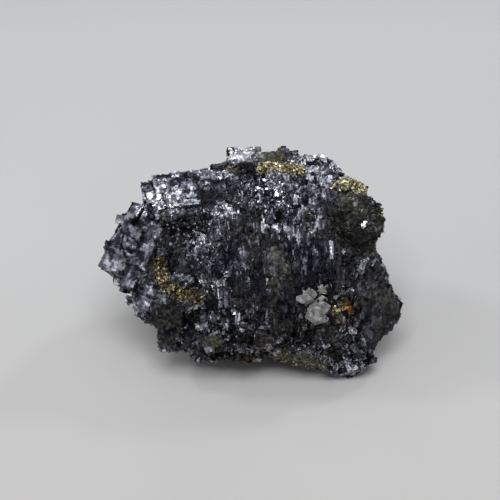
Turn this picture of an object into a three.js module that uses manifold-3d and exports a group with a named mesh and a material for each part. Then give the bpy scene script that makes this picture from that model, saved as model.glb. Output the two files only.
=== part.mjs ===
// A hand-sized lump of massive galena, the lead ore: broken on all sides, with stepped cube faces,
// a rounded dark lump of zinc ore on one shoulder, brassy crusts and a few milky quartz grains.
// Millimetres, +Z up. The viewer stands in front, looking along +Y and down.
import * as THREE from "three";
import { ImprovedNoise } from "three/addons/math/ImprovedNoise.js";
import { mergeVertices } from "three/addons/utils/BufferGeometryUtils.js";
import Module from "manifold-3d";

// Driving dimensions.
const LOOK_DOWN = THREE.MathUtils.degToRad(35); // the viewer looks this far down at the outline
const MIDDLE = new THREE.Vector3(0.26, -7.59, 29.3); // the middle of that outline, above the resting plane
const FRONT_BULGE = 15; // how far the lump stands out of the outline's plane, towards the viewer
const BACK_BULGE = 28.5; // and away from the viewer
const BOXINESS = 2.7; // 2 is an ellipsoid, more is squarer
const RIM_LEAN = 0.2; // the upper rim leans away from the viewer by this share of its height
const BODY_DETAIL = 8; // subdivisions of the icosahedron that the body is shaped from
const UNDERSIDE = 2.4; // height of the rough underside above the resting plane
const BROAD_ROUGHNESS = 1.8; // depth of the body's broad waves
const FINE_ROUGHNESS = 1.1; // and of its small ones
const FLATTEN_FRONT = 0.5; // spreads the body's triangles evenly over its flat front
const FLATTEN_BACK = 0.8; // and over its back

// The body's outline in the plane across the view, as [right, up] from its middle, clockwise from the top.
const OUTLINE = [
  [-9, 28.5], [-4, 30.5], [3, 33], [9, 32.5], [15, 30.5], [20.5, 31], [25, 28.5], [29, 25.5], [32, 23],
  [34.5, 18], [36, 12], [36, 6.5], [36.5, 2], [39.5, -1], [41.5, -5], [45.2, -13], [43, -18.5],
  [38.5, -24], [33.5, -30.8], [28.5, -34.4], [20, -31.5], [12, -29.5], [5.5, -28], [-1, -27.5], [-10, -28.5],
  [-17, -26.5], [-22, -23.5], [-25.5, -19], [-29.5, -15], [-33, -10], [-36.5, -5], [-38.5, 1], [-37, 8],
  [-33.5, 14], [-31, 19], [-26.5, 24], [-18, 26.5],
];

const RIGHT = new THREE.Vector3(1, 0, 0);
const UP = new THREE.Vector3(0, Math.sin(LOOK_DOWN), Math.cos(LOOK_DOWN));
const NEAR = new THREE.Vector3(0, -Math.cos(LOOK_DOWN), Math.sin(LOOK_DOWN));
const VIEW_AXES = new THREE.Matrix4().makeBasis(RIGHT, UP, NEAR).setPosition(MIDDLE);
const noise = new ImprovedNoise();

const wasm = await Module();
wasm.setup();

// Repeatable random numbers: dice(seed) gives a function of (low, high).
function dice(seed) {
  let state = seed;
  return (low, high) => {
    state = (Math.imul(state, 1664525) + 1013904223) >>> 0;
    return low + ((high - low) * state) / 4294967296;
  };
}

// Distance from the middle to the outline at an angle, where the ray crosses one of its sides.
function rimRadius(angle) {
  const ray = [Math.cos(angle), Math.sin(angle)];
  for (let i = 0; i < OUTLINE.length; i++) {
    const [ax, ay] = OUTLINE[i];
    const [bx, by] = OUTLINE[(i + 1) % OUTLINE.length];
    const before = ax * ray[1] - ay * ray[0];
    const after = bx * ray[1] - by * ray[0];
    if (before > 0 === after > 0) continue;
    const share = before / (before - after);
    const reach = (ax + (bx - ax) * share) * ray[0] + (ay + (by - ay) * share) * ray[1];
    if (reach > 0) return reach;
  }
  throw new Error("the outline doesn't go round its middle");
}

// Broad broken faces: the body is planed off where it passes `reach` along `facing`, in the viewer's axes.
const BROKEN_FACES = [
  { facing: [0.36, -0.12, 0.93], reach: 17.5 },
  { facing: [0.05, -0.42, 0.9], reach: 17 },
  { facing: [-0.05, 0.45, 0.89], reach: 16.5 },
  { facing: [-0.42, 0.05, 0.9], reach: 17.5 },
  { facing: [0.5, 0.35, -0.79], reach: 34 },
  { facing: [-0.55, 0.15, -0.82], reach: 32 },
  { facing: [0.1, 0.5, -0.86], reach: 31 },
  { facing: [0.6, -0.3, -0.74], reach: 36 },
];
const PLANED = 0.75; // how much of what stands past a broken face is taken off

// The body's reach from its middle in a direction, before it leans: a squarish ellipsoid on the outline,
// planed off by the broken faces and roughened.
function reachAlong(direction) {
  const across = Math.hypot(direction.x, direction.y) / rimRadius(Math.atan2(direction.y, direction.x));
  const depth = Math.abs(direction.z) / (direction.z > 0 ? FRONT_BULGE : BACK_BULGE);
  let reach = (across ** BOXINESS + depth ** BOXINESS) ** (-1 / BOXINESS);
  for (const face of BROKEN_FACES) {
    const slope = new THREE.Vector3(...face.facing).normalize().dot(direction);
    if (slope > 0) reach -= PLANED * Math.max(0, reach - face.reach / slope);
  }
  const p = direction.clone().multiplyScalar(reach);
  const broad = noise.noise(p.x / 11, p.y / 11, p.z / 11 + 7);
  const fine = noise.noise(p.x / 4.5 + 3, p.y / 4.5, p.z / 4.5);
  return reach + BROAD_ROUGHNESS * broad + FINE_ROUGHNESS * fine;
}

// The upper rim's lean, as a change of depth.
const lean = (up) => RIM_LEAN * Math.max(0, up);

function isInsideBody(point) {
  const upright = new THREE.Vector3(point.x, point.y, point.z + lean(point.y));
  return upright.length() < reachAlong(upright.clone().normalize());
}

// A closed three.js geometry as a solid.
function solid(geometry) {
  geometry.deleteAttribute("normal");
  geometry.deleteAttribute("uv");
  const merged = mergeVertices(geometry, 1e-4);
  return new wasm.Manifold(
    new wasm.Mesh({
      numProp: 3,
      vertProperties: merged.attributes.position.array,
      triVerts: new Uint32Array(merged.index.array),
    }),
  );
}

// The rounded body, with its underside kept just clear of the resting plane.
function body() {
  const geometry = new THREE.IcosahedronGeometry(1, BODY_DETAIL);
  const at = geometry.attributes.position;
  for (let i = 0; i < at.count; i++) {
    const direction = new THREE.Vector3().fromBufferAttribute(at, i);
    direction.z *= direction.z > 0 ? FLATTEN_FRONT : FLATTEN_BACK;
    direction.normalize();
    const p = direction.clone().multiplyScalar(reachAlong(direction));
    p.z -= lean(p.y);
    p.applyMatrix4(VIEW_AXES);
    const floor = UNDERSIDE + 1.2 * noise.noise(p.x / 8, p.y / 8, 0.5);
    if (p.z < floor) p.z = floor + 0.04 * (p.z - floor);
    at.setXYZ(i, p.x, p.y, p.z);
  }
  return solid(geometry);
}

// A rectangular cleavage block: its middle, size and turns (degrees) in the viewer's axes.
function block(middle, size, turn) {
  const place = new THREE.Matrix4().makeRotationFromEuler(
    new THREE.Euler(...turn.map(THREE.MathUtils.degToRad), "ZYX"),
  );
  place.setPosition(...middle).premultiply(VIEW_AXES);
  return solid(new THREE.BoxGeometry(...size).applyMatrix4(place));
}

// Crystals, each split along its own square lattice. Round the point `over` of the outline's plane, within
// `radius`, the surface is a mosaic of columns of size `cell` that face `facing`, turned by `roll` degrees,
// and their tops lie on planes `step` apart, up to `jitter` above the body.
const CRYSTALS = [
  // the striated panel in the middle, and its top
  {
    over: [8, 0, 0], radius: 19, facing: [0.04, 0.02, 1], roll: 2,
    cell: [3.3, 8.5], step: 0.7, jitter: 1.4,
  },
  {
    over: [4, 19, 0], radius: 10, facing: [0, 0.3, 0.95], roll: -3,
    cell: [3.3, 5.5], step: 0.7, jitter: 1.4,
  },
  // between the dark pocket and the panel
  {
    over: [-10, 1, 0], radius: 8, facing: [-0.2, 0, 0.98], roll: 7,
    cell: [4, 4.5], step: 0.8, jitter: 1.3,
  },
  // the left stack, down to the lower left corner
  {
    over: [-35, 2, 0], radius: 10, facing: [-0.5, 0.15, 0.85], roll: -18,
    cell: [4.8, 4.6], step: 1.5, jitter: 2.5,
  },
  {
    over: [-28, -9, 0], radius: 9, facing: [-0.35, -0.2, 0.9], roll: -16,
    cell: [4.8, 4.2], step: 1.6, jitter: 2.8,
  },
  {
    over: [-18, -20, 0], radius: 9, facing: [0.2, -0.45, 0.87], roll: 19,
    cell: [4.8, 5], step: 1.5, jitter: 2.2,
  },
  // the upper right shoulder
  {
    over: [22, 22, 0], radius: 12, facing: [0.25, 0.45, 0.85], roll: -28,
    cell: [4.2, 3.8], step: 0.9, jitter: 1.6,
  },
  // the lower right corner and the lower edge
  {
    over: [25, -23, 0], radius: 11, facing: [0.35, -0.3, 0.88], roll: 32,
    cell: [4.8, 4.6], step: 1.2, jitter: 1.8,
  },
  {
    over: [3, -21, 0], radius: 10, facing: [-0.25, -0.3, 0.92], roll: -12,
    cell: [6.5, 3.8], step: 1.2, jitter: 1.8,
  },
  // the back
  {
    over: [0, 26, -12], radius: 14, facing: [0.1, 0.85, -0.5], roll: 12,
    cell: [7, 6], step: 1.4, jitter: 2.4,
  },
  {
    over: [-25, 8, -10], radius: 17, facing: [-0.5, 0.25, -0.83], roll: 24,
    cell: [9, 8], step: 1.8, jitter: 3,
  },
  {
    over: [26, 6, -10], radius: 17, facing: [0.45, 0.1, -0.88], roll: -15,
    cell: [9.5, 8], step: 1.8, jitter: 3,
  },
  {
    over: [2, 14, -10], radius: 14, facing: [0.05, 0.3, -0.95], roll: 8,
    cell: [9, 9], step: 1.8, jitter: 2.8,
  },
];
const BARE_SHARE = 0.16; // cells left as rough body
const ROOT_DEPTH = 1.5; // how far a column reaches under the lowest body surface in its cell

// How far the body's surface lies along a lattice's outward axis, over [across, along] it, or null beside it.
function heightOver(lattice, across, along) {
  let [low, high] = [-20, 60];
  const isInside = (height) => isInsideBody(new THREE.Vector3(across, along, height).applyMatrix4(lattice));
  while (low < 60 && !isInside(low)) low += 4;
  if (low >= 60) return null;
  while (high - low > 0.05) {
    const between = (low + high) / 2;
    if (isInside(between)) low = between;
    else high = between;
  }
  return low;
}

function columnsOf({ over, radius, facing, roll, cell, step, jitter }, seed) {
  const random = dice(seed);
  const outward = new THREE.Vector3(...facing).normalize();
  const turned = new THREE.Quaternion().setFromUnitVectors(new THREE.Vector3(0, 0, 1), outward);
  const lattice = new THREE.Matrix4().makeRotationFromQuaternion(turned);
  lattice.multiply(new THREE.Matrix4().makeRotationZ(THREE.MathUtils.degToRad(roll)));
  const origin = new THREE.Vector3(...over).applyMatrix4(lattice.clone().invert());
  const columns = [];
  for (let across = -radius; across < radius; across += cell[0]) {
    const shift = random(0, cell[1]);
    for (let along = -radius - shift; along < radius; along += cell[1]) {
      const size = [cell[0] * random(0.8, 1.25), cell[1] * random(0.7, 1.15)];
      const bump = random(0, jitter);
      if (random(0, 1) < BARE_SHARE || Math.hypot(across, along) > radius) continue;
      const at = [origin.x + across, origin.y + along];
      const corners = [[-1, -1], [1, -1], [-1, 1], [1, 1]].map(([sx, sy]) =>
        heightOver(lattice, at[0] + (sx * size[0]) / 2, at[1] + (sy * size[1]) / 2),
      );
      if (corners.includes(null)) continue;
      const level = (corners[0] + corners[1] + corners[2] + corners[3]) / 4 + bump;
      const top = Math.round(level / step) * step;
      const foot = Math.min(...corners) - ROOT_DEPTH;
      if (top < foot + 1) continue;
      const geometry = new THREE.BoxGeometry(size[0], size[1], top - foot);
      geometry.translate(at[0], at[1], (top + foot) / 2).applyMatrix4(lattice).applyMatrix4(VIEW_AXES);
      columns.push(solid(geometry));
    }
  }
  return columns;
}

// Blocks that make the outline's corners, each with its own place.
const SLAB_TURN = [-13, 4, 8];
const STACK_TURN = [-10, -24, -21];
const LANDMARK_BLOCKS = [
  // the upper left slab with its outer end, two steps under it and three behind
  { at: [-18, 20, 2], size: [20, 10, 15], turn: SLAB_TURN },
  { at: [-27.8, 19, 0], size: [8.5, 7.5, 13], turn: SLAB_TURN },
  { at: [-23, 13.4, 3.5], size: [13, 6, 10], turn: SLAB_TURN },
  { at: [-11, 16.5, 5.5], size: [7, 5, 8], turn: SLAB_TURN },
  { at: [-13.5, 20.5, -5], size: [10, 9, 10], turn: SLAB_TURN },
  { at: [-22, 18.5, -6.5], size: [9, 10, 10], turn: SLAB_TURN },
  { at: [-29, 16, -7], size: [6, 9, 8], turn: SLAB_TURN },
  // the top block
  { at: [-2.8, 29.4, -9], size: [9.5, 7.5, 10], turn: [-20, 14, 3] },
  // the left stack, from the slab down its outer side
  { at: [-33.2, 14.6, 1], size: [5, 5, 9], turn: STACK_TURN },
  { at: [-36, 10.4, 1], size: [5.5, 6, 9], turn: STACK_TURN },
  { at: [-38.4, 5.2, 1.5], size: [5, 7.5, 10], turn: STACK_TURN },
  { at: [-38.4, -0.9, 3], size: [8.5, 7, 10], turn: STACK_TURN },
  { at: [-35.2, -6, 2.5], size: [7.5, 5.5, 9], turn: STACK_TURN },
  { at: [-30.8, -11, 3], size: [8.5, 6.5, 9], turn: STACK_TURN },
  { at: [-29.4, -15.8, 1.5], size: [6, 4, 8], turn: STACK_TURN },
  // and down its inner side
  { at: [-29.6, 10.6, 4.5], size: [4, 6.5, 9], turn: STACK_TURN },
  { at: [-33.4, 6.4, 4], size: [6, 6.5, 9], turn: STACK_TURN },
  { at: [-30.4, 0.6, 6], size: [5.5, 7.5, 9], turn: STACK_TURN },
  // the lower left corner
  { at: [-23.5, -21, 3], size: [6.5, 9.5, 8], turn: [4, -12, 4] },
];

// Flat cleavage faces that the lump stands on: [x, y] middle and [x, y] size at the resting plane.
const FEET = [
  { at: [25.5, -17], size: [16, 11], height: 7 },
  { at: [-14, -7.5], size: [17, 11], height: 7 },
  { at: [6, 3], size: [22, 9], height: 6 },
];
const FOOT_TURN = THREE.MathUtils.degToRad(-14);

function foot({ at, size, height }) {
  const geometry = new THREE.BoxGeometry(size[0], size[1], height);
  return solid(geometry.rotateZ(FOOT_TURN).translate(at[0], at[1], height / 2));
}

// A rounded, pitted lump: an icosahedron stretched to `size` and turned in the viewer's axes.
function lump(middle, size, detail, roughness) {
  const geometry = new THREE.IcosahedronGeometry(1, detail);
  const at = geometry.attributes.position;
  for (let i = 0; i < at.count; i++) {
    const p = new THREE.Vector3().fromBufferAttribute(at, i);
    p.multiplyScalar(1 + roughness * noise.noise(2.3 * p.x + middle[0], 2.3 * p.y, 2.3 * p.z));
    p.multiply(new THREE.Vector3(...size)).add(new THREE.Vector3(...middle)).applyMatrix4(VIEW_AXES);
    at.setXYZ(i, p.x, p.y, p.z);
  }
  return solid(geometry);
}

// Rounded grains of other minerals: the dark zinc ore and the milky quartz.
const GRAINS = [
  { at: [30.5, 12, 1], size: [9.5, 9, 10], detail: 5, roughness: 0.25 },
  { at: [20, -13.8, 11], size: [5.4, 5, 4], detail: 0, roughness: 0 },
  { at: [16.2, -9, 12], size: [3.4, 2.6, 3.2], detail: 0, roughness: 0 },
  { at: [22, -7.4, 11], size: [3.8, 2.4, 3.2], detail: 0, roughness: 0 },
];

// Brassy crusts of small eight-faced crystals, strung along lines of [right, up] points of the
// outline's plane.
const CRUSTS = [
  { line: [[-28, -1.5], [-26.5, -6], [-23, -10.5], [-16.5, -11.5]], count: 14 },
  { line: [[-5, 27.5], [4, 27.5], [15, 26]], count: 12 },
  { line: [[25, 21], [29.5, 22], [33, 20]], count: 8 },
];
const CRUST_CRYSTAL = { small: 1.1, large: 1.9, scatter: 1.4 };

// How far the body's surface stands in front of a point of the outline's plane.
function depthAt(right, up) {
  return heightOver(new THREE.Matrix4(), right, up) ?? 0;
}

function crustOf({ line, count }, seed) {
  const random = dice(seed);
  const path = new THREE.CatmullRomCurve3(line.map(([x, y]) => new THREE.Vector3(x, y, 0)));
  return Array.from({ length: count }, (_, i) => {
    const p = path.getPointAt((i + 0.5) / count);
    p.x += random(-1, 1) * CRUST_CRYSTAL.scatter;
    p.y += random(-1, 1) * CRUST_CRYSTAL.scatter;
    p.z = depthAt(p.x, p.y);
    const crystal = new THREE.OctahedronGeometry(random(CRUST_CRYSTAL.small, CRUST_CRYSTAL.large));
    crystal.rotateX(random(0, 3)).rotateY(random(0, 3)).translate(p.x, p.y, p.z);
    return solid(crystal.applyMatrix4(VIEW_AXES));
  });
}

// Hollows: the dark pocket under the slab, the notch under the zinc ore and the arch of the lower edge.
const HOLLOWS = [
  { at: [-19.5, 7.5, 13.5], size: [9.5, 6.5, 7.5] },
  { at: [-23.5, 1, 12.5], size: [4.5, 7, 5] },
  { at: [41, 3.5, 2], size: [4.2, 2.6, 9] },
  { at: [6, -33.5, 6], size: [8, 4, 9] },
];

const minerals = [
  ...CRYSTALS.flatMap((zone, i) => columnsOf(zone, 11 + i)),
  ...LANDMARK_BLOCKS.map(({ at, size, turn }) => block(at, size, turn)),
];
let specimen = minerals.reduce((made, piece) => made.add(piece), body());
const underneath = new THREE.BoxGeometry(200, 200, 50).translate(0, 0, UNDERSIDE / 3 - 25);
specimen = specimen.subtract(solid(underneath));
for (const { at, size } of HOLLOWS) specimen = specimen.subtract(lump(at, size, 3, 0.5));
const added = [
  ...GRAINS.map(({ at, size, detail, roughness }) => lump(at, size, detail, roughness)),
  ...CRUSTS.flatMap((crust, i) => crustOf(crust, 31 + i)),
  ...FEET.map(foot),
];
specimen = added.reduce((made, piece) => made.add(piece), specimen);
// A column that the hollows cut loose is dropped: only the largest piece is the specimen.
const [largest] = specimen.decompose().sort((a, b) => b.volume() - a.volume());

function geometryOf(made) {
  const mesh = made.getMesh();
  const geometry = new THREE.BufferGeometry();
  geometry.setAttribute("position", new THREE.BufferAttribute(mesh.vertProperties, 3));
  return geometry.setIndex(new THREE.BufferAttribute(mesh.triVerts, 1));
}

const galena = new THREE.MeshStandardMaterial({ color: 0x585b66, roughness: 0.35, metalness: 0.9 });
const rock = new THREE.Mesh(geometryOf(largest), galena);
rock.name = "galena_rock";
const part = new THREE.Group().add(rock);
export default part;
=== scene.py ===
import math

import bmesh
import bpy
import numpy as np
from mathutils import Euler, Matrix, Vector, kdtree, noise


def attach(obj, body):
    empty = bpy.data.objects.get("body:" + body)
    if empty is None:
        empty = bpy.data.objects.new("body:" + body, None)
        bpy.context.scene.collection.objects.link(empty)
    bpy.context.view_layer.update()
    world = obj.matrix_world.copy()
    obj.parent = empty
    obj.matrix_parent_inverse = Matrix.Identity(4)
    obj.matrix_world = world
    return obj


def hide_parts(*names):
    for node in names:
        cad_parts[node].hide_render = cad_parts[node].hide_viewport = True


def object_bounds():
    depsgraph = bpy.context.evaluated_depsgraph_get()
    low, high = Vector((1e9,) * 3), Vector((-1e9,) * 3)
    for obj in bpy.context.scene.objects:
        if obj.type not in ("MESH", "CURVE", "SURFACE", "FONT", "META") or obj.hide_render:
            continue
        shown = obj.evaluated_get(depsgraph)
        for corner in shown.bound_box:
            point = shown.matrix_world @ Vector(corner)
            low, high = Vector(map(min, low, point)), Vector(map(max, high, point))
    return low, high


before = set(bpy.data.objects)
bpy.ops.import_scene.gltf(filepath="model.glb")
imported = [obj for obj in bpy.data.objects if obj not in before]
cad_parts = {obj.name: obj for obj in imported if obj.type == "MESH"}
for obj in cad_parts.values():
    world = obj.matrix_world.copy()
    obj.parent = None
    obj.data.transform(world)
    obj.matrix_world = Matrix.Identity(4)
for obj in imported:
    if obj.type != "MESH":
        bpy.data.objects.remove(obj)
cad_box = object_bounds()

# The lump is measured in millimetres, across a plane that a viewer in front sees square on:
# right, up and near, from the middle of that plane. Finished meshes are in metres.
MM = 0.001
LOOK_DOWN = math.radians(35)
MIDDLE = Vector((0.26, -7.59, 29.3))
RIGHT = Vector((1, 0, 0))
UP = Vector((0, math.sin(LOOK_DOWN), math.cos(LOOK_DOWN)))
NEAR = Vector((0, -math.cos(LOOK_DOWN), math.sin(LOOK_DOWN)))
AXES = np.array([RIGHT, UP, NEAR])  # rows
CAMERA_AWAY = 420.0

# The picture: its width in pixels, what one pixel spans on that plane in mm, and the middle's own pixel.
PICTURE_WIDTH = 500
PIXEL_SPAN = 0.297
MIDDLE_PIXEL = (251, 262)
SENSOR_WIDTH = 36

# Lamps: name, place, size (metres) and power (watts). They all face the middle of the lump.
LAMPS = [
    ("overhead", (0.0, -0.3, 0.6), 0.36, 2.95),
    ("left_wall", (-0.6, -0.12, 0.12), 0.4, 0.5),
    ("back_wall", (0.12, 0.5, 0.36), 0.4, 0.2),
    ("key_left", (-0.4, 0.1, 0.4), 0.09, 0.55),
    ("key_right", (0.3, 0.28, 0.42), 0.07, 0.45),
    ("key_front", (-0.16, -0.4, 0.52), 0.08, 0.35),
]
LAMPS_FACE = Vector((0, 0, 0.028))

# A ring of soft boxes round the lump, the first of them at this angle (degrees).
SOFT_BOXES = 6
SOFT_BOX_ANGLE = -76
SOFT_BOX_AWAY = 0.55
SOFT_BOX_HEIGHT = 0.3
SOFT_BOX_SIZE = 0.22
SOFT_BOX_POWER = 0.13

# Brightness of the room by height, from eye level (and all below it) to straight up, and its tint.
ROOM_LEVELS = [(0.0, 0.5), (0.12, 0.36), (0.3, 0.1), (0.62, 0.12), (0.85, 0.42), (1.0, 0.5)]
ROOM_TINT = (0.98, 0.99, 1.04)

# The table: half its width and where it turns paler, in metres, and its clouded near and plain far tones.
# Turning paler farther off is painted light.
TABLE_REACH = 3
TABLE_FADE = (-0.1, 0.2)
NEAR_TABLE_TONES = [(0.3, (0.43, 0.428, 0.42)), (0.7, (0.46, 0.458, 0.45))]
FAR_TABLE_TONE = (0.55, 0.555, 0.57)

# Galena from near black to silver, and the resinous dark, olive and rusty tones on it.
GALENA_TONES = [
    (0.0, (0.008, 0.008, 0.011)), (0.3, (0.03, 0.031, 0.04)), (0.5, (0.13, 0.132, 0.165)),
    (0.75, (0.42, 0.43, 0.49)), (1.0, (0.93, 0.94, 0.97)),
]
STAIN_TONES = {
    "ore": [(0.35, (0.008, 0.008, 0.0075)), (0.55, (0.028, 0.028, 0.025)), (0.75, (0.1, 0.1, 0.09))],
    "olive": [(0.35, (0.012, 0.012, 0.009)), (0.55, (0.06, 0.059, 0.042)), (0.72, (0.24, 0.24, 0.17))],
    "rust": [(0.34, (0.03, 0.014, 0.005)), (0.5, (0.2, 0.075, 0.014)), (0.66, (0.7, 0.32, 0.055))],
}
FACET_DEPTH = 0.0006  # metres
ZINC_ORE_TONES = [
    (0.0, (0.004, 0.004, 0.0035)), (0.4, (0.018, 0.0175, 0.015)), (0.7, (0.065, 0.064, 0.056)),
    (1.0, (0.28, 0.28, 0.26)),
]
BRASSY_TONES = [
    (0.0, (0.014, 0.011, 0.006)), (0.35, (0.09, 0.072, 0.034)), (0.65, (0.38, 0.32, 0.17)),
    (1.0, (0.85, 0.79, 0.56)),
]
QUARTZ_TONES = [(0.3, (0.06, 0.06, 0.055)), (0.5, (0.17, 0.17, 0.165)), (0.68, (0.42, 0.42, 0.41))]

# The body is evened out to faces of this size (mm).
BODY_FACE = 0.5

# Where the body stands a little out of the plain solid, or in: middle, reach and rise in mm.
BULGES = [
    {"at": (42, -18), "reach": (4, 6), "rise": 1.0},
    {"at": (-36, 4.4), "reach": (2.8, 1.4), "rise": 1.3},
    {"at": (-9.8, 30.2), "reach": (3.2, 3.2), "rise": -3.5},
    {"at": (38, 17.5), "reach": (3.5, 6), "rise": -2.2},
    {"at": (38.6, 6), "reach": (2.5, 3), "rise": -0.9},
    {"at": (42.5, -6), "reach": (3, 5), "rise": -1.0},
    {"at": (-39.5, 14.5), "reach": (3, 3), "rise": -1.2},
    {"at": (-36.8, -11), "reach": (2.5, 3), "rise": -0.9},
    {"at": (28.5, 27.5), "reach": (3.5, 3), "rise": -1.2},
    {"at": (40.5, 2), "reach": (3, 4), "rise": -0.8},
    {"at": (12, 34), "reach": (4.5, 3), "rise": -1.2},
    {"at": (-35, 18), "reach": (3, 3), "rise": -1.2},
    {"at": (-41.5, 9.5), "reach": (3, 4), "rise": -1.2},
]
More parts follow.
